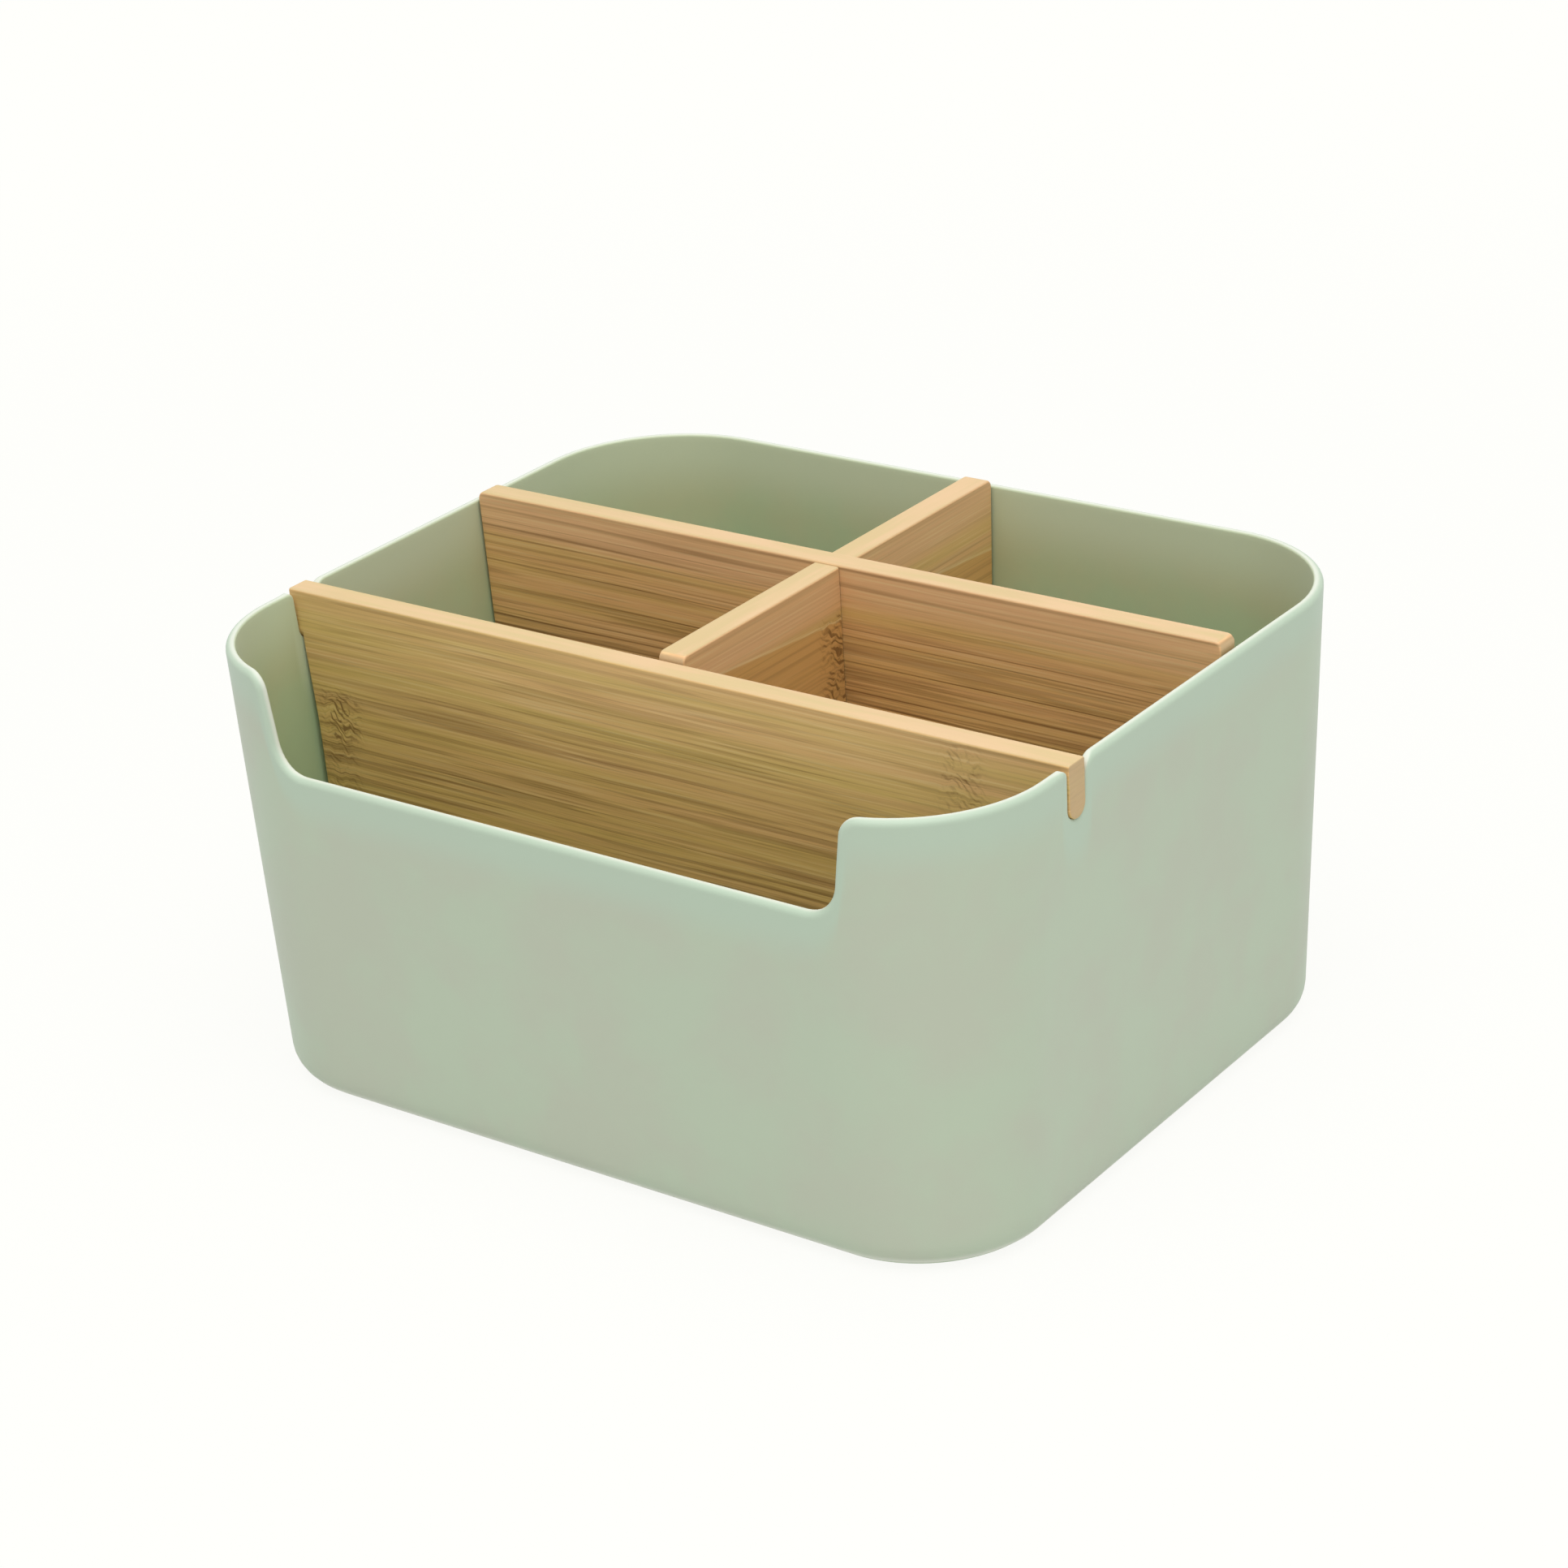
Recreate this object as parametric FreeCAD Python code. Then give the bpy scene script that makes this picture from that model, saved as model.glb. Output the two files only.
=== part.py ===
import FreeCAD, Part
import math
import os

from FreeCAD import Vector

# A vanity organizer: a drafted bin with round corners and a lowered front edge, divided into five
# compartments by three bamboo boards. Millimetres. X runs along the front, Y to the back, Z up.
# The origin is the centre of the footprint, on the surface that the bin stands on.

# Bin, outside
rim_width = 220.0
rim_depth = 183.0
bin_height = 111.5
rim_corner_radius = 36.5
wall_draft_deg = 2.5
base_round = 7.4

# Bin, wall and floor
wall = 2.4
floor = 2.4
rim_round = 1.0
foot_height = 0.8
foot_width = 6.0

# Lowered front edge; its margin is taken halfway down its leaning sides
dip_margin = 31.0               # side rim to the side of the dip
dip_depth = 24.2
dip_lean_deg = 8.0
dip_shoulder_radius = 5.0
dip_corner_radius = 8.5

# Bamboo boards
board = 6.4                     # thickness of the front and rear dividers
cross_board = 7.2               # thickness of the cross divider
board_ease = 0.6
board_corner_radius = 2.0
front_divider_setback = 47.7    # front rim to the middle of the front divider
rear_divider_setback = 66.5     # back rim to the middle of the rear divider
front_rise = 0.5                # tops of the boards above the rim
rear_rise = 2.6
cross_rise = 2.1

# Ears of the front divider, in notches of the side walls
ear_depth = 12.8                # below the rim
ear_ease = 0.4
ear_root_height = 20.0          # below the ear, where the board's end leans out to the wall
ear_root_radius = 150.0
notch_lip_radius = 2.0
notch_back_lip_radius = 4.0

# Clearances
end_gap = 0.5                   # end of the rear or cross divider to the wall
front_end_gap = 1.3             # end of the front divider to the wall, below the ear's root
ear_root_gap = 0.25             # ear's root to the wall
ear_play = 0.5                  # ear to the sides of the notch
seat_play = 0.2                 # ear to the bottom of the notch
lap_play = 0.2                  # board to the slot of the half lap, on each side
butt_gap = 0.4                  # cross divider to front divider
overcut = 5.0                   # how far a cutter runs past the face it opens

# Places that follow from these sizes
floor_top = foot_height + floor
front_top = bin_height + front_rise
rear_top = bin_height + rear_rise
cross_top = bin_height + cross_rise
lap_height = (floor_top + cross_top) / 2
ear_bottom = bin_height - ear_depth
notch_bottom = ear_bottom - seat_play
half_notch = board / 2 + ear_play
front_divider_y = front_divider_setback - rim_depth / 2
rear_divider_y = rim_depth / 2 - rear_divider_setback
board_foot_radius = base_round - wall
tiny = 1e-4


def draft_inset(z):
    # How far the outer face of the wall stands inside the rim at height z
    return (bin_height - z) * math.tan(math.radians(wall_draft_deg))


def side_reach(z, gap):
    # Half the length of a board that ends this gap inside the side walls
    return rim_width / 2 - draft_inset(z) - wall - gap


def back_reach(z):
    # Where a board ends in front of the back wall
    return rim_depth / 2 - draft_inset(z) - wall - end_gap


def in_plan(z):
    return lambda p: Vector(p.x, p.y, z)


def facing_front(y):
    return lambda p: Vector(p.x, y, p.y)


def facing_side(x):
    return lambda p: Vector(x, p.x, p.y)


def rounded_wire(corners, place):
    # A closed outline through (u, v, radius) corners, each rounded by a tangent arc
    points = [Vector(u, v, 0) for u, v, radius in corners]
    stretches = []
    for i, (u, v, radius) in enumerate(corners):
        back = (points[i - 1] - points[i]).normalize()
        ahead = (points[(i + 1) % len(points)] - points[i]).normalize()
        half_angle = back.getAngle(ahead) / 2
        reach = radius / math.tan(half_angle)
        crown = radius / math.sin(half_angle) - radius
        middle = points[i] + (back + ahead).normalize() * crown
        stretches.append((points[i] + back * reach, middle, points[i] + ahead * reach))
    edges = []
    for i, (start, middle, end) in enumerate(stretches):
        following = stretches[(i + 1) % len(stretches)][0]
        if start.distanceToPoint(end) > tiny:
            edges.append(Part.Arc(place(start), place(middle), place(end)).toShape())
        if end.distanceToPoint(following) > tiny:
            edges.append(Part.LineSegment(place(end), place(following)).toShape())
    return Part.Wire(edges)


def footprint(inset, z):
    # The bin's round-cornered outline at height z, moved in from the outer face by inset
    moved = inset + draft_inset(z)
    x = rim_width / 2 - moved
    y = rim_depth / 2 - moved
    radius = rim_corner_radius - moved
    corners = [(-x, -y, radius), (x, -y, radius), (x, y, radius), (-x, y, radius)]
    return rounded_wire(corners, in_plan(z))


def drafted_block(inset, bottom, top, bottom_round):
    block = Part.makeLoft([footprint(inset, bottom), footprint(inset, top)], True, True)
    base_edges = [edge for edge in block.Edges if edge.BoundBox.ZMax < bottom + tiny]
    return block.makeFillet(bottom_round, base_edges)


def u_outline(y, width, bottom, top, top_round):
    # A full-round bottom between upright sides, about the plane y
    left = y - width / 2
    right = y + width / 2
    return [
        (left, top, top_round),
        (left, bottom, width / 2),
        (right, bottom, width / 2),
        (right, top, top_round),
    ]


def dip_half_width(z):
    middle = bin_height - dip_depth / 2
    return rim_width / 2 - dip_margin + (z - middle) * math.tan(math.radians(dip_lean_deg))


def dip_cutter():
    low = bin_height - dip_depth
    high = bin_height + overcut
    corners = [
        (-dip_half_width(low), low, 0),
        (dip_half_width(low), low, 0),
        (dip_half_width(high), high, 0),
        (-dip_half_width(high), high, 0),
    ]
    outside = -rim_depth / 2 - overcut
    reach = overcut + rim_corner_radius
    return Part.Face(rounded_wire(corners, facing_front(outside))).extrude(Vector(0, reach, 0))


def notch_cutter():
    # Both side walls are cut by one bar, which is clear of the front and back walls
    outline = u_outline(front_divider_y, 2 * half_notch, notch_bottom, bin_height + overcut, 0)
    outside = rim_width / 2 + overcut
    bar = Part.Face(rounded_wire(outline, facing_side(-outside)))
    return bar.extrude(Vector(2 * outside, 0, 0))


def edge_points(edge):
    # Both ends of an edge and its middle
    start, end = edge.FirstParameter, edge.LastParameter
    return [edge.valueAt(start), edge.valueAt((start + end) / 2), edge.valueAt(end)]


def edges_through_wall(shell, offset, value, z):
    # Straight edges that cross the wall at height z, where the offset of a point has this value
    found = []
    for edge in shell.Edges:
        if all(abs(p.z - z) < tiny and abs(offset(p) - value) < tiny for p in edge_points(edge)):
            found.append(edge)
    return found


def wall_depth(point):
    # Depth of a point in the wall: 0 on the outer face, the wall's thickness on the inner face
    x = abs(point.x) - (rim_width / 2 - rim_corner_radius)
    y = abs(point.y) - (rim_depth / 2 - rim_corner_radius)
    reach = math.hypot(max(x, 0), max(y, 0)) + min(max(x, y), 0)
    return rim_corner_radius - draft_inset(point.z) - reach


def rim_edges(shell):
    # The whole line of the rim, down through the dip and the notches, on both faces of the wall
    lowest = min(bin_height - dip_depth, notch_bottom) - tiny
    found = []
    for edge in shell.Edges:
        depth = wall_depth(edge_points(edge)[1])
        on_face = abs(depth) < 0.01 or abs(depth - wall) < 0.01
        if on_face and edge.BoundBox.ZMin > lowest:
            found.append(edge)
    return found


def make_bin_shell():
    outer = drafted_block(0, 0, bin_height, base_round)
    cavity = drafted_block(wall, floor_top, bin_height + overcut, base_round - wall)
    under = Part.Face(footprint(base_round + foot_width, 0)).extrude(Vector(0, 0, foot_height))
    shell = outer.cut([cavity, under, dip_cutter(), notch_cutter()])

    low = bin_height - dip_depth
    shoulders = edges_through_wall(shell, lambda p: abs(p.x), dip_half_width(bin_height), bin_height)
    shell = shell.makeFillet(dip_shoulder_radius, shoulders)
    corners = edges_through_wall(shell, lambda p: abs(p.x), dip_half_width(low), low)
    shell = shell.makeFillet(dip_corner_radius, corners)
    for side, radius in ((-half_notch, notch_lip_radius), (half_notch, notch_back_lip_radius)):
        lips = edges_through_wall(shell, lambda p: p.y - front_divider_y, side, bin_height)
        shell = shell.makeFillet(radius, lips)
    return shell.makeFillet(rim_round, rim_edges(shell))


def board_blank(outline, thickness, is_eased):
    # A board cut to its outline, with the sanded edges rounded
    blank = Part.Face(outline).extrude(thickness)
    axis = Vector(thickness).normalize()
    eased = []
    for edge in blank.Edges:
        start, middle, end = edge_points(edge)
        if abs((end - start).dot(axis)) < tiny and is_eased(edge):
            eased.append(edge)
    return blank.makeFillet(board_ease, eased)


def make_front_divider():
    # The ears are the ends of one bar along the top edge, with the notches' round bottom
    join = bin_height - ear_depth / 2
    root = ear_bottom - ear_root_height
    end = [
        (side_reach(floor_top, front_end_gap), floor_top, board_foot_radius),
        (side_reach(root, front_end_gap), root, ear_root_radius),
        (side_reach(ear_bottom, ear_root_gap), ear_bottom, ear_root_radius),
        (side_reach(join, ear_root_gap), join, 0),
    ]
    corners = end + [(-x, z, radius) for x, z, radius in reversed(end)]
    outline = rounded_wire(corners, facing_front(front_divider_y - board / 2))
    below_join = lambda edge: edge.BoundBox.ZMin < join - tiny
    body = board_blank(outline, Vector(0, board, 0), below_join)

    reach = rim_width / 2 - draft_inset(join)
    section = u_outline(front_divider_y, board, ear_bottom, front_top, board_ease)
    bar = Part.Face(rounded_wire(section, facing_side(-reach))).extrude(Vector(2 * reach, 0, 0))
    ends = [edge for edge in bar.Edges if edge.BoundBox.XLength < tiny]
    return body.fuse(bar.makeFillet(ear_ease, ends)).removeSplitter()


def make_rear_divider():
    foot = side_reach(floor_top, end_gap)
    top = side_reach(rear_top, end_gap)
    corners = [
        (-foot, floor_top, board_foot_radius),
        (foot, floor_top, board_foot_radius),
        (top, rear_top, board_corner_radius),
        (-top, rear_top, board_corner_radius),
    ]
    outline = rounded_wire(corners, facing_front(rear_divider_y - board / 2))
    blank = board_blank(outline, Vector(0, board, 0), lambda edge: True)
    # The lower half of the lap: a slot that opens downwards over the cross divider
    width = cross_board + 2 * lap_play
    height = lap_height + lap_play - floor_top + overcut
    corner = Vector(-width / 2, rear_divider_y - board / 2 - overcut, floor_top - overcut)
    return blank.cut(Part.makeBox(width, board + 2 * overcut, height, corner))


def make_cross_divider():
    front = front_divider_y + board / 2 + butt_gap
    corners = [
        (front, floor_top, board_corner_radius),
        (back_reach(floor_top), floor_top, board_foot_radius),
        (back_reach(cross_top), cross_top, board_corner_radius),
        (front, cross_top, board_corner_radius),
    ]
    outline = rounded_wire(corners, facing_side(-cross_board / 2))
    blank = board_blank(outline, Vector(cross_board, 0, 0), lambda edge: True)
    # The upper half of the lap: a slot that opens upwards for the rear divider
    width = board + 2 * lap_play
    height = cross_top - lap_height + overcut
    corner = Vector(-cross_board / 2 - overcut, rear_divider_y - width / 2, lap_height)
    return blank.cut(Part.makeBox(cross_board + 2 * overcut, width, height, corner))


parts = {
    "bin_shell": make_bin_shell(),
    "front_divider": make_front_divider(),
    "rear_divider": make_rear_divider(),
    "cross_divider": make_cross_divider(),
}

os.makedirs("parts", exist_ok=True)
for node, shape in parts.items():
    shape.exportStep(f"parts/{node}.step")
    box = shape.BoundBox
    size = f"{box.XLength:.1f} x {box.YLength:.1f} x {box.ZLength:.1f} mm"
    print(f"{node}: {size}, {len(shape.Solids)} solid, valid {shape.isValid()}, {shape.Volume / 1000:.1f} cm3")
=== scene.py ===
import math

import bpy
from mathutils import Matrix, Vector


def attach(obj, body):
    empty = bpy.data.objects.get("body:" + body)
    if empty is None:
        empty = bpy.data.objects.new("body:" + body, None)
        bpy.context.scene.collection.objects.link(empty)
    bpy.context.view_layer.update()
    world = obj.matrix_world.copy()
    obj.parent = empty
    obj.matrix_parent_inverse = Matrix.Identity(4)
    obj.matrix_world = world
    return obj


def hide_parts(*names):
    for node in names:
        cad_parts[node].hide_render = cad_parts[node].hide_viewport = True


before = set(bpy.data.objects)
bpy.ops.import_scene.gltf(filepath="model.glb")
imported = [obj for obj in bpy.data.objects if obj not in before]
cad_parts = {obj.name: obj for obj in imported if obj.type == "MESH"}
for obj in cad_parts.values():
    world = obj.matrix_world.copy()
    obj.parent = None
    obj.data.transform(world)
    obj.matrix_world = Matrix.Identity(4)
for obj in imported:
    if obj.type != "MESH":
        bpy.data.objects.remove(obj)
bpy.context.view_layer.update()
scene = bpy.context.scene
print("frame loaded:", ", ".join(sorted(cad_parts)))


class Wire:  # an output socket, so that maths on it reads as an expression
    def __init__(self, tree, socket):
        self.tree = tree
        self.socket = socket

    @staticmethod
    def node(tree, kind, settings=None, inputs=None, output=0):
        made = tree.nodes.new(kind)
        for name, value in (settings or {}).items():
            setattr(made, name, value)
        for key, value in (inputs or {}).items():
            if isinstance(value, Wire):
                tree.links.new(value.socket, made.inputs[key])
            else:
                made.inputs[key].default_value = value
        return Wire(tree, made.outputs[output])

    def maths(self, operation, *values):
        settings = {"operation": operation}
        return Wire.node(self.tree, "ShaderNodeMath", settings, dict(enumerate(values)))

    def __add__(self, other):
        return self.maths("ADD", self, other)

    def __radd__(self, other):
        return self.maths("ADD", other, self)

    def __sub__(self, other):
        return self.maths("SUBTRACT", self, other)

    def __rsub__(self, other):
        return self.maths("SUBTRACT", other, self)

    def __mul__(self, other):
        return self.maths("MULTIPLY", self, other)

    def __rmul__(self, other):
        return self.maths("MULTIPLY", other, self)

    def __truediv__(self, other):
        return self.maths("DIVIDE", self, other)

    def __rtruediv__(self, other):
        return self.maths("DIVIDE", other, self)

    def __abs__(self):
        return self.maths("ABSOLUTE", self)

    def clamp(self, low, high):
        return self.maths("MINIMUM", self.maths("MAXIMUM", self, low), high)

    def blend(self, other, share):  # numbers only: self where share is 0, other where it is 1
        return self + (other - self) * share

    def step(self, start, end):  # smooth rise from 0 at start to 1 at end
        settings = {"interpolation_type": "SMOOTHSTEP"}
        inputs = {"Value": self, "From Min": start, "From Max": end}
        return Wire.node(self.tree, "ShaderNodeMapRange", settings, inputs)

    def part(self, index):
        return Wire.node(self.tree, "ShaderNodeSeparateXYZ", None, {0: self}, index)


def vector(tree, x, y, z):
    return Wire.node(tree, "ShaderNodeCombineXYZ", None, {0: x, 1: y, 2: z})


def mixColour(tree, share, first, second):
    first = first if isinstance(first, Wire) else (*first, 1)
    second = second if isinstance(second, Wire) else (*second, 1)
    inputs = {0: share, 6: first, 7: second}  # 6 and 7 are the node's colours
    return Wire.node(tree, "ShaderNodeMix", {"data_type": "RGBA"}, inputs, 2)


photoCamera = {
    "azimuth": 36.84,        # degrees from the front, towards the right
    "elevation": 24.44,
    "roll": -3.58,
    "distance": 0.928,
    "target": (0.01493, -0.02038, 0.07658),
    "lens": 92.113,
    "sensor": 36.0,
}


def makeCamera():
    azimuth = math.radians(photoCamera["azimuth"])
    elevation = math.radians(photoCamera["elevation"])
    flat = math.cos(elevation)
    back = Vector((math.sin(azimuth) * flat, -math.cos(azimuth) * flat, math.sin(elevation)))
    right = Vector((math.cos(azimuth), math.sin(azimuth), 0))
    turned = Matrix((right, back.cross(right), back)).transposed().to_4x4()
    turned = turned @ Matrix.Rotation(math.radians(photoCamera["roll"]), 4, "Z")
    camera = bpy.data.objects.new("photoCamera", bpy.data.cameras.new("photoCamera"))
    camera.data.lens = photoCamera["lens"]
    camera.data.sensor_width = photoCamera["sensor"]
    place = Vector(photoCamera["target"]) + back * photoCamera["distance"]
    camera.matrix_world = Matrix.Translation(place) @ turned
    scene.collection.objects.link(camera)
    scene.camera = camera


makeCamera()
print("camera set")


def newMaterial(name):
    material = bpy.data.materials.new(name)
    material.use_nodes = True
    tree = material.node_tree
    shader = tree.nodes["Principled BSDF"]
    return material, tree, shader


def objectPlace(tree):
    return Wire.node(tree, "ShaderNodeTexCoord", output="Object")


def noise(tree, place, scale, detail=2.0, roughness=0.5):
    inputs = {"Vector": place, "Scale": scale, "Detail": detail, "Roughness": roughness}
    return Wire.node(tree, "ShaderNodeTexNoise", None, inputs)


def plug(tree, wire, socket):
    tree.links.new(wire.socket, socket)


def readShade(tree, label):  # a number kept on the piece's own points
    return Wire.node(tree, "ShaderNodeAttribute", {"attribute_name": label}, output="Fac")


def plugSurface(tree, shader, colour, roughness, bump):
    normal = Wire.node(tree, "ShaderNodeBump", None, bump)
    plug(tree, colour, shader.inputs["Base Color"])
    plug(tree, roughness, shader.inputs["Roughness"])
    plug(tree, normal, shader.inputs["Normal"])


# An edge is where a mark starts to show and where it is full. Across the wall, 0 is its outer
# face and 1 its inner face. A reach is in metres, below the rim unless its note says otherwise.
sagePlastic = {
    "green": (0.46, 0.54, 0.402),
    "grey": (0.468, 0.512, 0.395),
    "clouds": (38.0, 3.0, 0.55),     # per metre, their detail and their roughness
    "cloudEdge": (0.35, 0.65),
    # painted teal reflection on the outer wall just below the rim
    "rim": (0.45, 0.565, 0.44),
    "paintedReflectionReach": (0.002, 0.013),      # where the painted teal reflection starts to fade and where it ends
    "paintedReflectionShare": 0.8,
    "inside": ((0.485, 0.53, 0.30), (0.42, 0.56, 0.32)),  # painted yellow bounce light from the bamboo and painted shade on the inner wall, its upper and lower part
    "insideEdge": (0.80, 0.98),      # across the wall
    "paintedBounceReach": (0.106, 0.075),   # heights where the upper part ends and the lower is full
    "paintedBounceDrift": 0.06,             # how far the clouds move these heights
    "paintedBounceShare": 0.85,
    # painted light: the inner wall is lighter just below the rim
    "paintedInnerRimLight": (0.555, 0.64, 0.445),
    "innerRimReach": (0.002, 0.019),
    "innerRimShare": 0.85,
    # painted highlight along the crest of the rim
    "paintedCrestHighlight": (0.72, 0.74, 0.64),
    "crestEdge": (0.25, 0.70),       # across the wall
    "crestShare": 0.8,
    "roughness": (0.46, 0.56),
    "grainScale": 2600.0,            # moulded grain per metre
    "grainDepth": 0.00004,
    "grainStrength": 0.35,
    "sheen": 0.10,
    "sheenTint": (0.85, 1.0, 0.96),
}


def makeSagePlastic():
    look = sagePlastic
    material, tree, shader = newMaterial("sagePlastic")
    shader.inputs["Sheen Weight"].default_value = look["sheen"]
    shader.inputs["Sheen Tint"].default_value = (*look["sheenTint"], 1)
    place = objectPlace(tree)
    clouds = noise(tree, place, *look["clouds"])
    across = readShade(tree, "inside")
    drop = readShade(tree, "drop")
    inside = across.step(*look["insideEdge"])
    outside = 1 - inside
    # painted teal reflection: a band on the outer face just below the rim
    rim = (1 - drop.step(*look["paintedReflectionReach"])) * outside
    # heights of the painted bounce light and shade on the inner wall
    lower = (place.part(2) + (clouds - 0.5) * look["paintedBounceDrift"]).step(*look["paintedBounceReach"])
    # painted light along the top of the inner wall
    paintedInnerRimLight = inside * (1 - drop.step(*look["innerRimReach"]))
    # painted highlight on the crest of the rim
    paintedCrestHighlight = across.step(*look["crestEdge"]) * outside

    colour = mixColour(tree, clouds.step(*look["cloudEdge"]), look["green"], look["grey"])
    colour = mixColour(tree, rim * look["paintedReflectionShare"], colour, look["rim"])
    # painted yellow bounce light from the bamboo and painted shade on the inner wall
    paintedBounceAndShade = mixColour(tree, lower, *look["inside"])
    colour = mixColour(tree, inside * look["paintedBounceShare"], colour, paintedBounceAndShade)
    colour = mixColour(tree, paintedInnerRimLight * look["innerRimShare"], colour, look["paintedInnerRimLight"])
    colour = mixColour(tree, paintedCrestHighlight * look["crestShare"], colour, look["paintedCrestHighlight"])
    low, high = look["roughness"]
    grain = noise(tree, place, look["grainScale"])
    bump = {"Strength": look["grainStrength"], "Distance": look["grainDepth"], "Height": grain}
    plugSurface(tree, shader, colour, low + (high - low) * clouds, bump)
    return material


binSizes = {  # metres and degrees, as the CAD bin; capitals mark the inputs of its tree
    "Width": 0.220,
    "Depth": 0.183,
    "Height": 0.1115,
    "Corner radius": 0.0365,
    "Draft": 2.5,
    "Column step": 0.0030,
    "Corner points": 9,
    "wall": 0.0024,
    "floor": 0.0024,
    "rimRound": (0.0015, 0.0006),    # outer and inner edge
    "baseRound": 0.0074,
    "footHeight": 0.0008,            # the standing ring under the floor
    "footWidth": 0.0060,
    "dipMargin": 0.031,              # the lowered front edge
    "dipDepth": 0.0242,
    "dipLean": 8.0,
    "dipShoulder": 0.0050,
    "dipCorner": 0.0085,
    "notchAt": -0.0438,
    "notchWidth": 0.0078,
    "notchSeat": 0.00645,            # its width at the bottom
    "notchRound": 0.99,              # the bottom's rounding, against half that width
    "notchDepth": 0.01282,
    "notchLip": 0.0020,
    "notchBackLip": 0.0040,
    "notchEdge": 0.4,                # the outer rounding there, against the rim's
    "notchEdgeReach": (0.0042, 0.0078),
    "wallRings": 9,
    "lastRing": 0.985,               # share of the way down the wall
    "roundRings": 8,
    "lipRings": 6,
    "edgeRelief": 0.00015,
    "underMargin": 0.004,            # from a rounding to the flat ring that closes the floor
    "floorMargin": 0.012,
    "spreadShare": 0.8,              # of the way to the seam at the back, which stays
    "spreadSteps": 220,
    "mergeGap": 0.00001,
}


def lineMesh(name, points, attributes):  # a line of edges with numbers on its points
    mesh = bpy.data.meshes.new(name)
    edges = [(i, i + 1) for i in range(len(points) - 1)]
    mesh.from_pydata([(u, v, 0) for u, v in points], edges, [])
    for label, values in attributes.items():
        mesh.attributes.new(label, "FLOAT", "POINT").data.foreach_set("value", values)
    piece = bpy.data.objects.new(name, mesh)
    scene.collection.objects.link(piece)
    return piece


def rimLine():  # the rim unrolled: along the wall and up, with the rounding of each corner
    size = binSizes
    top = size["Height"]
    low = top - size["dipDepth"]
    coreX = size["Width"] / 2 - size["Corner radius"]
    coreY = size["Depth"] / 2 - size["Corner radius"]
    quarter = size["Corner radius"] * math.pi / 2
    half = 2 * (coreX + coreY + quarter)

    def dipSide(z):  # along the wall to the dip's side, which lies on the round corner
        middle = top - size["dipDepth"] / 2
        lean = math.tan(math.radians(size["dipLean"]))
        x = size["Width"] / 2 - size["dipMargin"] + (z - middle) * lean
        radius = size["Corner radius"] - (top - z) * math.tan(math.radians(size["Draft"]))
        return coreX + size["Corner radius"] * math.asin((x - coreX) / radius)

    notch = coreX + quarter + coreY + size["notchAt"]
    mouth = size["notchWidth"] / 2
    seat = size["notchSeat"] / 2
    bottom = top - size["notchDepth"]
    side = [
        (dipSide(low), low, size["dipCorner"]),
        (dipSide(top), top, size["dipShoulder"]),
        (notch - mouth, top, size["notchLip"]),
        (notch - seat, bottom, seat * size["notchRound"]),
        (notch + seat, bottom, seat * size["notchRound"]),
        (notch + mouth, top, size["notchBackLip"]),
        (half, top, 0.0),
    ]
    corners = [(-u, v, r) for u, v, r in reversed(side)] + side
    rounding = [r for u, v, r in corners]
    return lineMesh("rimLine", [c[:2] for c in corners], {"rounding": rounding}), half


def wallSection():  # from under the floor, up the outside, over the rim and down to the floor
    size = binSizes
    lean = math.radians(size["Draft"])
    draft = math.tan(lean)
    relief = size["edgeRelief"]
    beside = 4 * relief              # from a rounding to the ring that holds its edge
    wall = size["wall"]
    floorTop = size["footHeight"] + size["floor"]
    foot = size["baseRound"] + size["footWidth"]
    outerLip, innerLip = size["rimRound"]
    supported = outerLip + 2 * relief
    section = []

    # How far below the rim and into the wall, the share of the fall from the rim to a level ring,
    # that ring's height, and how far it is pulled to the middle
    def addRow(below, depth, fall=0.0, level=0.0, pull=0.0):
        section.append((below, depth, fall, level, pull))

    def ring(inset, height, pull=0.0):
        addRow(supported, inset + height * draft, 1.0, height, pull)

    def baseArc(radius, inset, bottom, reverse):
        middle = inset + radius * (1 - math.sin(lean)) / math.cos(lean)
        count = size["roundRings"]
        turns = [lean + (math.pi / 2 - lean) * i / count for i in range(count + 1)]
        for t in (reversed(turns) if reverse else turns):
            ring(middle - radius * math.cos(t), bottom + radius - radius * math.sin(t))

    def wallRings(depth, height, shares):
        for share in shares:
            addRow(supported, depth, share, height)

    count = size["wallRings"]
    shares = [0.0] + [i / count for i in range(1, count)] + [size["lastRing"]]
    pulls = (0.0, 0.5, 1.0)          # a flat ring closes in the middle by way of one halfway
    for pull in reversed(pulls):
        ring(foot + size["underMargin"], size["footHeight"], pull)
    ring(foot + relief, size["footHeight"])
    ring(foot, size["footHeight"] - relief)
    ring(foot, relief)
    ring(foot - relief, 0.0)
    ring(size["baseRound"] + beside, 0.0)
    baseArc(size["baseRound"], 0.0, 0.0, True)
    wallRings(0.0, size["baseRound"] * (1 - math.sin(lean)), reversed(shares))
    turns = [math.pi / 2 * i / size["lipRings"] for i in range(size["lipRings"] + 1)]
    for turn in turns:
        addRow(outerLip * (1 - math.sin(turn)), outerLip * (1 - math.cos(turn)))
    for turn in turns:
        addRow(innerLip * (1 - math.cos(turn)), wall - innerLip * (1 - math.sin(turn)))
    innerRound = size["baseRound"] - wall
    innerFoot = wall - floorTop * draft  # inner face at the floor, measured at the ground
    wallRings(wall, floorTop + innerRound * (1 - math.sin(lean)), shares)
    baseArc(innerRound, innerFoot, floorTop, False)
    ring(innerFoot + innerRound + beside, floorTop)
    for pull in pulls:
        ring(innerFoot + innerRound + size["floorMargin"], floorTop, pull)
    labels = ("fall", "level", "pull")
    attributes = {label: [row[i + 2] for row in section] for i, label in enumerate(labels)}
    return lineMesh("wallSection", [row[:2] for row in section], attributes)


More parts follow.
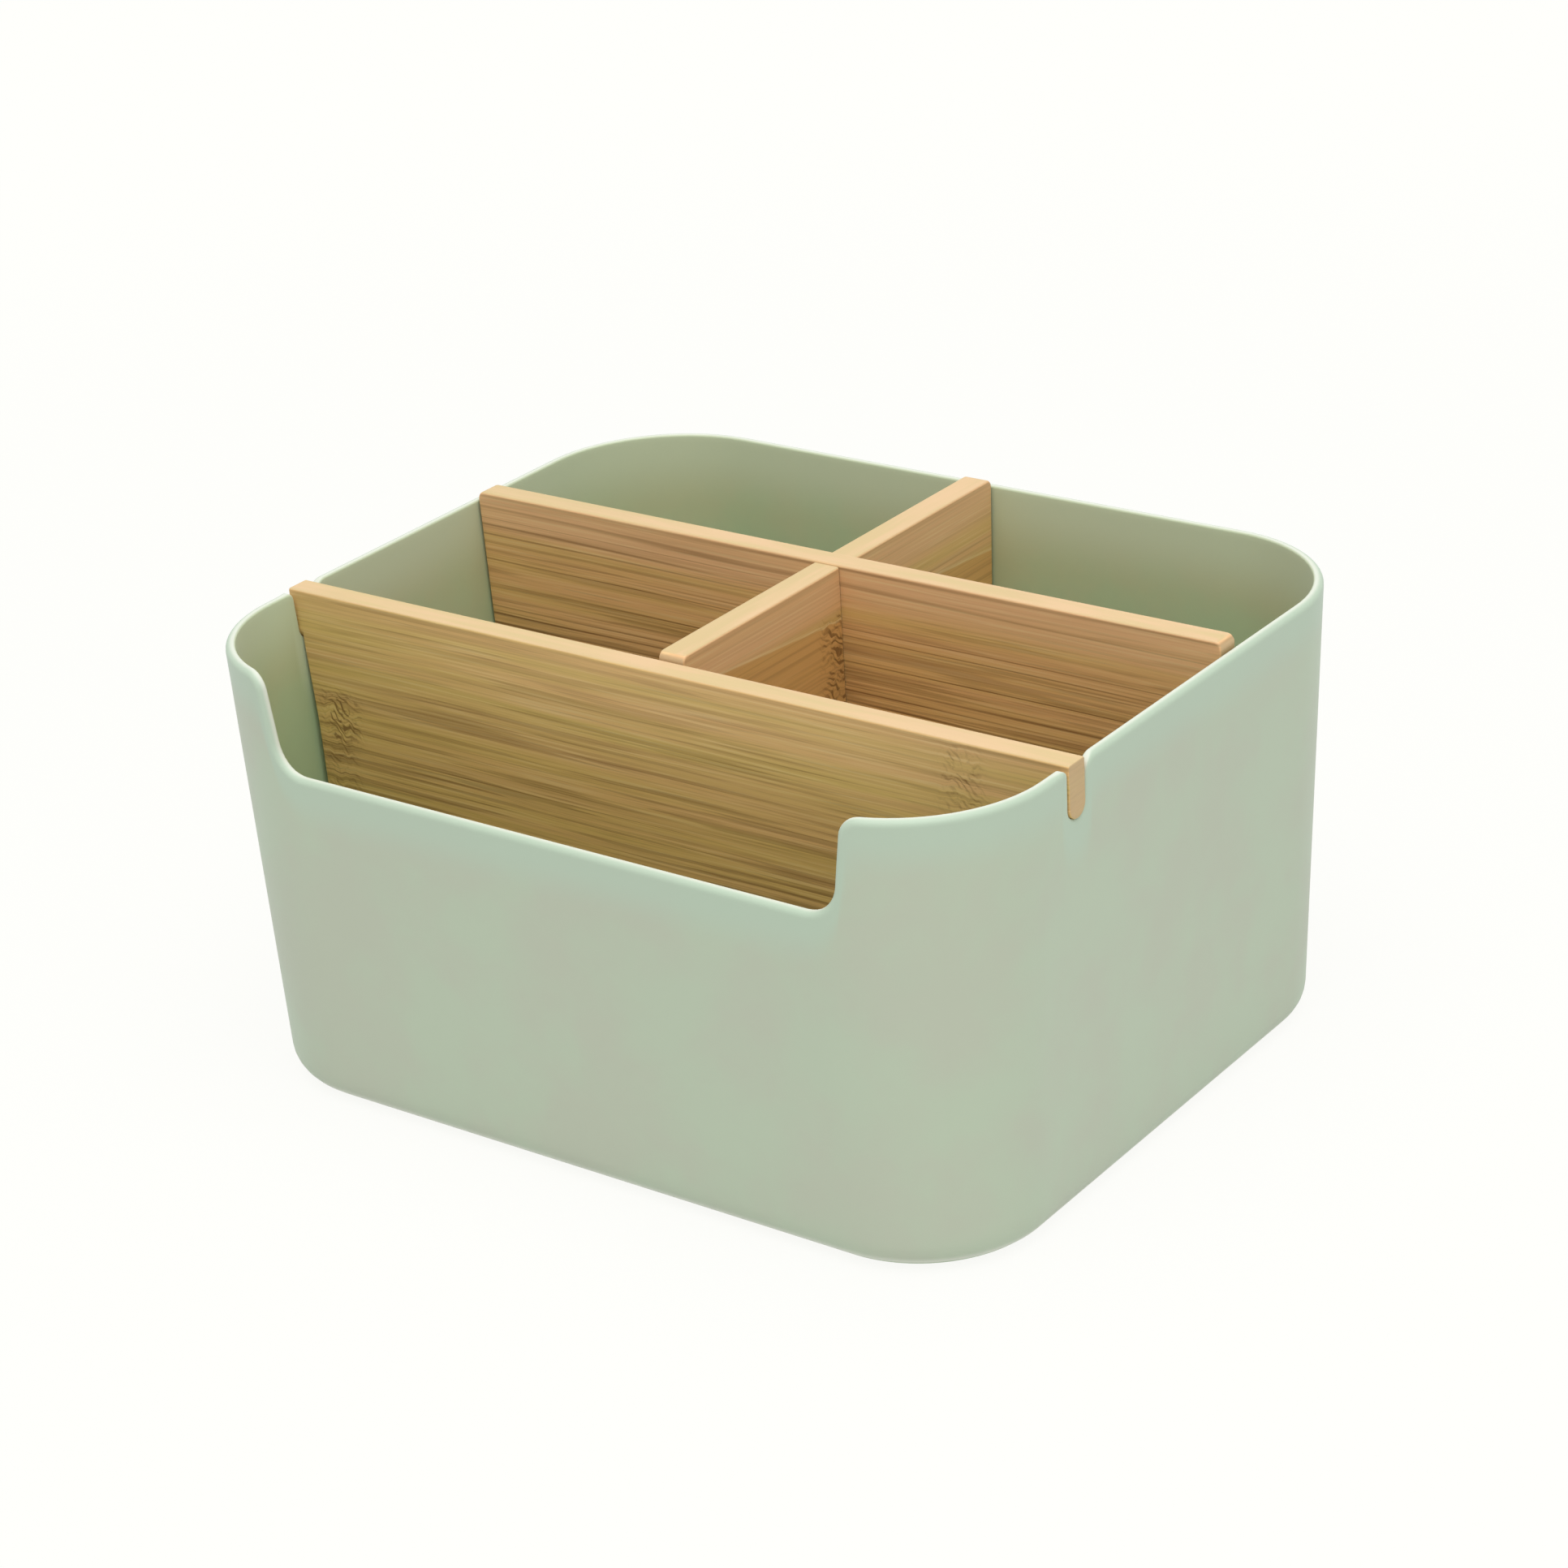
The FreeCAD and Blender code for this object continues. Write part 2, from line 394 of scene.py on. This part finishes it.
def newTree(name, labels):  # takes a line, the object of a section, and a number for each label
    tree = bpy.data.node_groups.new(name, "GeometryNodeTree")
    tree.interface.new_socket("Geometry", in_out="INPUT", socket_type="NodeSocketGeometry")
    tree.interface.new_socket("Geometry", in_out="OUTPUT", socket_type="NodeSocketGeometry")
    tree.interface.new_socket("Section", in_out="INPUT", socket_type="NodeSocketObject")
    for label in labels:
        tree.interface.new_socket(label, in_out="INPUT", socket_type="NodeSocketFloat")
    entry = tree.nodes.new("NodeGroupInput")
    outlet = tree.nodes.new("NodeGroupOutput")
    return tree, lambda label: Wire(tree, entry.outputs[label]), outlet


def makeBinTree(half, material):  # sweeps the section along the flat rim, then bends it round
    labels = ["Width", "Depth", "Height", "Corner radius", "Draft", "Column step", "Corner points"]
    tree, size, outlet = newTree("mouldedBin", labels)
    node = lambda *given, **named: Wire.node(tree, *given, **named)
    number = {"data_type": "FLOAT"}

    def read(label):
        return node("GeometryNodeInputNamedAttribute", number, {"Name": label})

    def store(geometry, label, value):
        inputs = {"Geometry": geometry, "Name": label, "Value": value}
        return node("GeometryNodeStoreNamedAttribute", number, inputs)

    line = node("GeometryNodeMeshToCurve", None, {"Mesh": size("Geometry")})
    rounded = {"Curve": line, "Radius": read("rounding"), "Count": size("Corner points")}
    line = node("GeometryNodeFilletCurve", {"mode": "POLY"}, {**rounded, "Limit Radius": True})
    place = node("GeometryNodeInputPosition")
    ahead = node("GeometryNodeOffsetPointInCurve", None, {"Offset": 1}, output="Point Index")
    following = {"Index": ahead, "Value": place}
    following = node("GeometryNodeFieldAtIndex", {"data_type": "FLOAT_VECTOR"}, following)
    gap = {0: place, 1: following}
    gap = node("ShaderNodeVectorMath", {"operation": "DISTANCE"}, gap, output="Value")
    cuts = gap / size("Column step")
    cuts = cuts.maths("FLOOR", cuts)
    line = node("GeometryNodeSubdivideCurve", None, {"Curve": line, "Cuts": cuts})
    flat = place.part(0)
    isFront = flat.maths("LESS_THAN", abs(flat), half * binSizes["spreadShare"])
    spread = {"Value": flat, "Iterations": binSizes["spreadSteps"], "Weight": isFront}
    line = store(line, "standing", node("GeometryNodeBlurAttribute", number, spread))
    line = node("GeometryNodeSetCurveNormal", {"mode": "Z_UP"}, {"Curve": line})

    section = node("GeometryNodeObjectInfo", None, {"Object": size("Section")}, output="Geometry")
    section = node("GeometryNodeMeshToCurve", None, {"Mesh": section})
    swept = node("GeometryNodeCurveToMesh", None, {"Curve": line, "Profile Curve": section})

    fall = read("fall")
    above = 1 - fall
    along = read("standing").blend(flat, above * above * above)  # columns fan out below the rim
    height = place.part(1).blend(read("level"), fall)
    depth = place.part(2)                # into the wall, negative
    radius = size("Corner radius")
    coreX = size("Width") / 2 - radius
    coreY = size("Depth") / 2 - radius
    quarter = radius * (math.pi / 2)
    run = abs(along)
    toSide = run - coreX - quarter       # past the front corner
    toBack = toSide - 2 * coreY          # past the side
    turn = ((run - coreX).clamp(0, quarter) + toBack.clamp(0, quarter)) / radius
    lean = size("Draft") * (math.pi / 180)
    notch = coreX + quarter + coreY + binSizes["notchAt"]
    tight = (1 - abs(run - notch).step(*binSizes["notchEdgeReach"])) * above
    isOuter = depth.maths("GREATER_THAN", depth, binSizes["rimRound"][0] * -1.01)  # with its end
    sunk = depth * (1 - tight * isOuter * (1 - binSizes["notchEdge"]))
    reach = radius - (size("Height") - height) * lean.maths("TANGENT", lean) + sunk
    x = run.clamp(0, coreX) - (toBack - quarter).clamp(0, coreX)
    x = (x + reach * turn.maths("SINE", turn)) * along.maths("SIGN", along)
    y = toSide.clamp(0, 2 * coreY) - coreY - reach * turn.maths("COSINE", turn)
    spared = 1 - read("pull")
    bent = vector(tree, x * spared, y * spared, height)
    swept = store(swept, "drop", place.part(1) - height)
    swept = store(swept, "inside", depth / -binSizes["wall"])
    shell = node("GeometryNodeSetPosition", None, {"Geometry": swept, "Position": bent})
    merged = {"Geometry": shell, "Distance": binSizes["mergeGap"]}
    shell = node("GeometryNodeMergeByDistance", None, merged)
    for label in ("rounding", "standing", "fall", "level", "pull"):
        shell = node("GeometryNodeRemoveAttribute", None, {"Geometry": shell, "Name": label})
    shell = node("GeometryNodeFlipFaces", None, {"Mesh": shell})
    shell = node("GeometryNodeSetShadeSmooth", None, {"Geometry": shell})
    shell = node("GeometryNodeRealizeInstances", None, {"Geometry": shell})
    shell = node("GeometryNodeSetMaterial", None, {"Geometry": shell, "Material": material})
    plug(tree, shell, outlet.inputs["Geometry"])
    return tree


def bakeTree(piece, tree, values):  # runs the tree on the piece and keeps the result as plain mesh
    modifier = piece.modifiers.new("shape", "NODES")
    modifier.node_group = tree
    for item in tree.interface.items_tree:
        if item.in_out == "INPUT" and item.name in values:
            modifier[item.identifier] = values[item.name]
    graph = bpy.context.evaluated_depsgraph_get()
    mesh = bpy.data.meshes.new_from_object(piece.evaluated_get(graph), depsgraph=graph)
    piece.modifiers.clear()
    piece.data = mesh
    return mesh


def makeBin():
    material = makeSagePlastic()
    piece, half = rimLine()
    piece.name = "moulded_bin"
    section = wallSection()
    mesh = bakeTree(piece, makeBinTree(half, material), {**binSizes, "Section": section})
    bpy.data.objects.remove(section)
    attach(piece, "bin")
    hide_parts("bin_shell")
    print("bin shaped:", len(mesh.vertices), "points,", len(mesh.polygons), "faces")


makeBin()

# An edge is where a mark starts to show and where it is full. A reach is the same in metres below
# the board's top. A share is how strong a colour gets, and a scale is marks per metre.
bamboo = {
    "grain": {  # marks per metre along the board, across it and through it, detail and roughness
        "sway": (9.0, 30.0, 0.0, 1.0, 0.5),
        "wander": (1.6, 170.0, 0.0, 1.0, 0.5),
        "gaps": (5.0, 190.0, 20.0, 1.0, 0.5),
        "hair": (28.0, 2200.0, 260.0, 2.0, 0.6),
        "streaks": (18.0, 1000.0, 160.0, 1.5, 0.5),
        "bands": (7.0, 520.0, 90.0, 1.5, 0.5),
        "tone": (7.0, 240.0, 45.0, 2.0, 0.5),
    },
    "swayDepth": 0.0016,             # how far the fibres leave the straight
    "curlDepth": 0.0042,             # the same round a knuckle
    "curlScale": 330.0,
    "curlStretch": 0.6,              # below 1 the curls are taller than long
    "lineScale": 350.0,
    "lineWander": 3.4,               # in spaces between lines
    "lineEdge": (0.32, 0.04),        # from the middle of a line, in half spaces
    "lineGaps": (0.34, 0.54),
    "streakEdge": (0.52, 0.60),
    "streakShare": 0.6,
    "hairEdge": (0.50, 0.66),
    "hairShare": 0.4,
    "bandEdge": (0.50, 0.64),
    "calmReach": (0.050, 0.004),     # the fibres get calmer towards the top
    "calmShare": 0.5,
    "blushCalm": 0.6,
    "knuckleCore": 0.2,              # the part of its reach where a knuckle is full
    "knuckleEnds": (0.004, 0.003),   # how softly it starts below and ends above
    "knuckleShade": 0.4,
    "fleckLean": (0.8, 0.6),         # up and along
    "fleckCurl": 0.0045,
    "fleckScale": 3900.0,
    "fleckEdge": (0.0, 0.8),
    "fleckShare": 0.85,
    "patchScale": 230.0,             # patches of flecks
    "patchEdge": (0.42, 0.58),
    "speckScale": 1000.0,
    "speckEdge": (0.56, 0.66),
    "speckShare": 0.35,
    "arrisReach": (0.0019, 0.0011),  # a shadow under the top edge
    "arrisEnd": (0.0008, 0.0003),
    "arrisShare": 0.15,
    "olive": (0.675, 0.478, 0.148),
    "rose": (0.75, 0.453, 0.195),
    "roseSpread": 2.4,               # how far apart the two tones are driven
    "blush": (0.79, 0.48, 0.245),
    "blushReach": (0.0120, 0.0065),
    "gold": (0.655, 0.36, 0.115),
    "pale": (0.84, 0.65, 0.33),
    "paleEdge": (0.48, 0.34),
    "paleShare": 0.35,
    "dark": (0.22, 0.108, 0.028),
    "darkShare": 0.9,
    "seamEdge": (0.0006, 0.0001),    # metres from the glue line
    "seamGaps": (0.3, 0.6),
    "top": ((0.59, 0.455, 0.225), (0.69, 0.485, 0.275)),
    "topReach": (0.00035, 0.00010),
    "topMottle": (0.40, 0.60),
    "topShare": 0.88,
    "end": (0.50, 0.36, 0.19),
    "endTurn": (0.6, 0.9),           # how squarely a face looks along the board
    "endShare": 0.8,
    "roughness": (0.48, 0.62),
    "fibreDepth": 0.00005,
    "fibreStrength": 0.4,
    "fibreHair": 0.5,                # height of the hair against the depth of the dark marks
}

# Along is the axis that the grain follows, and top the height of the upper edge, in metres.
# Lines, streaks and bands say how dark the even lines, the fine fibres and the broad stripes are.
# Rose is the share of the rosier tone, and blush that of a rosier, plainer strip along the top.
# Gold is where the deeper colour of the lower strips starts and where it is full, its slope along
# the board and its share. Seam is the share of a pale glue line where it starts.
# A knuckle is its middle along the board, its lowest and highest point, its reach and its strength.
boards = {
    "front_divider": {
        "along": 0,
        "top": 0.1120,
        "seed": 2.3,
        "lines": 0.18,
        "streaks": 0.76,
        "bands": 0.13,
        "rose": 0.42,
        "blush": 0.15,
        "gold": (0.1000, 0.0780, 0.0, 0.35),
        "seam": 0.0,
        "knuckles": [
            (-0.0970, 0.074, 0.0865, 0.0085, 1.0),
            (-0.0985, 0.050, 0.074, 0.0080, 0.45),
            (0.0825, 0.095, 0.110, 0.0085, 0.5),
        ],
    },
    "rear_divider": {
        "along": 0,
        "top": 0.1141,
        "seed": 7.9,
        "lines": 0.74,
        "streaks": 0.82,
        "bands": 0.16,
        "rose": 0.76,
        "blush": 0.75,
        "gold": (0.1060, 0.0980, 0.0, 0.25),
        "seam": 0.0,
        "knuckles": [],
    },
    "cross_divider": {
        "along": 1,
        "top": 0.1136,
        "seed": 4.6,
        "lines": 0.20,
        "streaks": 0.42,
        "bands": 0.08,
        "rose": 0.80,
        "blush": 0.70,
        "gold": (0.1022, 0.1018, 0.08, 0.85),
        "seam": 0.55,
        "knuckles": [(0.0192, 0.020, 0.1015, 0.0085, 1.0)],
    },
}


def makeBamboo(name):
    look = bamboo
    board = boards[name]
    material, tree, shader = newMaterial("bamboo_" + name)
    place = objectPlace(tree)
    along = place.part(board["along"])
    depth = place.part(1 - board["along"])
    height = place.part(2)

    def grain(kind, across):  # noise drawn out along the board
        perAlong, perAcross, perDepth, detail, roughness = look["grain"][kind]
        run = along * perAlong + board["seed"]
        stretched = vector(tree, run, depth * perDepth, across * perAcross)
        return noise(tree, stretched, 1.0, detail, roughness)

    def belowTop(reach):
        start, end = reach
        return height.step(board["top"] - start, board["top"] - end)

    knuckle = height * 0.0           # none yet
    below, beyond = look["knuckleEnds"]
    for middle, low, high, reach, strength in board["knuckles"]:
        near = 1 - abs(along - middle).step(reach * look["knuckleCore"], reach)
        near = near * height.step(low - below, low + below)
        near = near * (1 - height.step(high - beyond, high + beyond))
        knuckle = knuckle.maths("MAXIMUM", knuckle, near * strength)

    sway = grain("sway", height) - 0.5
    curl = vector(tree, along, depth, height * look["curlStretch"])
    curl = noise(tree, curl, look["curlScale"], 1.0) - 0.5
    across = height + sway * look["swayDepth"] + curl * knuckle * look["curlDepth"]

    phase = across * look["lineScale"] + (grain("wander", height) - 0.5) * look["lineWander"]
    lines = (abs(phase.maths("FRACT", phase) - 0.5) * 2).step(*look["lineEdge"])
    lines = lines * grain("gaps", across).step(*look["lineGaps"])
    hair = grain("hair", across)
    streaks = grain("streaks", across).step(*look["streakEdge"])
    fine = streaks * look["streakShare"] + hair.step(*look["hairEdge"]) * look["hairShare"]
    bands = grain("bands", across).step(*look["bandEdge"])
    fibres = fine * board["streaks"] + bands * board["bands"]
    fibres = fibres * (1 - belowTop(look["calmReach"]) * look["calmShare"])
    blush = belowTop(look["blushReach"]) * board["blush"]
    shade = lines * board["lines"] + fibres
    shade = shade * (1 - blush * look["blushCalm"]) * (1 + knuckle * look["knuckleShade"])

    up, sideways = look["fleckLean"]
    wave = (height * up + along * sideways + curl * look["fleckCurl"]) * look["fleckScale"]
    patches = noise(tree, place, look["patchScale"], 1.0).step(*look["patchEdge"])
    flecks = wave.maths("SINE", wave).step(*look["fleckEdge"]) * patches
    specks = noise(tree, place, look["speckScale"], 1.0).step(*look["speckEdge"])
    marks = (flecks * look["fleckShare"] + specks * look["speckShare"]) * knuckle
    arris = belowTop(look["arrisReach"]) * (1 - belowTop(look["arrisEnd"]))
    shade = (shade + marks + arris * look["arrisShare"]).clamp(0, 1)

    start, end, slope, amount = board["gold"]
    level = across + along * slope
    gold = level.step(start, end) * amount
    seam = abs(level - start).step(*look["seamEdge"]) * board["seam"]
    seam = seam * hair.step(*look["seamGaps"])
    tone = grain("tone", across)
    rose = ((tone - 0.5) * look["roseSpread"] + board["rose"]).clamp(0, 1)
    pale = hair.step(*look["paleEdge"]) * look["paleShare"] * (1 - gold)
    mottle = (tone * 0.5 + hair * 0.5).step(*look["topMottle"])
    isTop = belowTop(look["topReach"])
    facing = Wire.node(tree, "ShaderNodeNewGeometry", output="True Normal").part(board["along"])
    isEnd = abs(facing).step(*look["endTurn"])

    colour = mixColour(tree, rose, look["olive"], look["rose"])
    colour = mixColour(tree, blush, colour, look["blush"])
    colour = mixColour(tree, gold, colour, look["gold"])
    colour = mixColour(tree, pale, colour, look["pale"])
    colour = mixColour(tree, shade * look["darkShare"], colour, look["dark"])
    colour = mixColour(tree, seam, colour, look["pale"])
    topColour = mixColour(tree, mottle, *look["top"])
    colour = mixColour(tree, isTop * look["topShare"], colour, topColour)
    colour = mixColour(tree, isEnd * look["endShare"], colour, look["end"])
    low, high = look["roughness"]
    relief = hair * look["fibreHair"] - shade
    bump = {"Strength": look["fibreStrength"], "Distance": look["fibreDepth"], "Height": relief}
    plugSurface(tree, shader, colour, low + (high - low) * tone, bump)
    return material


def dressBoards():
    for name in boards:
        material = makeBamboo(name)
        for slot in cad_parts[name].material_slots:
            slot.material = material
    print("boards dressed:", ", ".join(boards))


dressBoards()

studio = {
    "white": (1.0, 1.0, 0.97),
    "dome": 0.55,
    "floor": (0.80, 0.80, 0.79),
    "floorRoughness": 0.9,
    "floorHalf": 6.0,
    "floorGlow": (0.92, 1.0),  # how white the floor is to the eye near the object and far from it
    "floorReach": (0.25, 0.90),
    "lampSize": 1.8,
    "lampPlace": (0.35, -0.36, 1.68),
    "lampPower": 29.0,
}


def isSeen(tree):  # 1 for rays from the camera and in reflections, 0 for light on the object
    camera = Wire.node(tree, "ShaderNodeLightPath", output="Is Camera Ray")
    glossy = Wire(tree, camera.socket.node.outputs["Is Glossy Ray"])
    clear = Wire(tree, camera.socket.node.outputs["Is Transmission Ray"])
    return (camera + glossy + clear).clamp(0, 1)


def makeWorld():
    world = bpy.data.worlds.new("studio")
    world.use_nodes = True
    tree = world.node_tree
    tree.nodes.clear()
    light = {"Color": (1, 1, 1, 1), "Strength": studio["dome"]}
    seen = {"Color": (*studio["white"], 1), "Strength": 1.0}
    light = Wire.node(tree, "ShaderNodeBackground", None, light)
    seen = Wire.node(tree, "ShaderNodeBackground", None, seen)
    sky = Wire.node(tree, "ShaderNodeMixShader", None, {0: isSeen(tree), 1: light, 2: seen})
    plug(tree, sky, tree.nodes.new("ShaderNodeOutputWorld").inputs["Surface"])
    scene.world = world


def makeFloor():
    mesh = bpy.data.meshes.new("floor")
    half = studio["floorHalf"]
    corners = [(-half, -half, 0), (half, -half, 0), (half, half, 0), (-half, half, 0)]
    mesh.from_pydata(corners, [], [(0, 1, 2, 3)])
    floor = bpy.data.objects.new("floor", mesh)
    scene.collection.objects.link(floor)
    material, tree, shader = newMaterial("floor")
    shader.inputs["Base Color"].default_value = (*studio["floor"], 1)
    shader.inputs["Roughness"].default_value = studio["floorRoughness"]
    glow = {"Color": (*studio["white"], 1), "Strength": 1.0}
    glow = Wire.node(tree, "ShaderNodeEmission", None, glow)
    length = {0: objectPlace(tree)}
    away = Wire.node(tree, "ShaderNodeVectorMath", {"operation": "LENGTH"}, length, "Value")
    near, far = studio["floorGlow"]
    white = near + (far - near) * away.step(*studio["floorReach"])
    surface = {0: isSeen(tree) * white, 1: Wire(tree, shader.outputs[0]), 2: glow}
    surface = Wire.node(tree, "ShaderNodeMixShader", None, surface)
    plug(tree, surface, tree.nodes["Material Output"].inputs["Surface"])
    mesh.materials.append(material)


def makeLamp():
    lamp = bpy.data.objects.new("softLamp", bpy.data.lights.new("softLamp", "AREA"))
    lamp.data.size = studio["lampSize"]
    lamp.data.energy = studio["lampPower"]
    place = Vector(studio["lampPlace"])
    turned = place.to_track_quat("Z", "Y").to_matrix().to_4x4()  # looks at the origin
    lamp.matrix_world = Matrix.Translation(place) @ turned
    scene.collection.objects.link(lamp)


makeWorld()
makeFloor()
makeLamp()
scene.view_settings.view_transform = "Standard"
print("studio set")
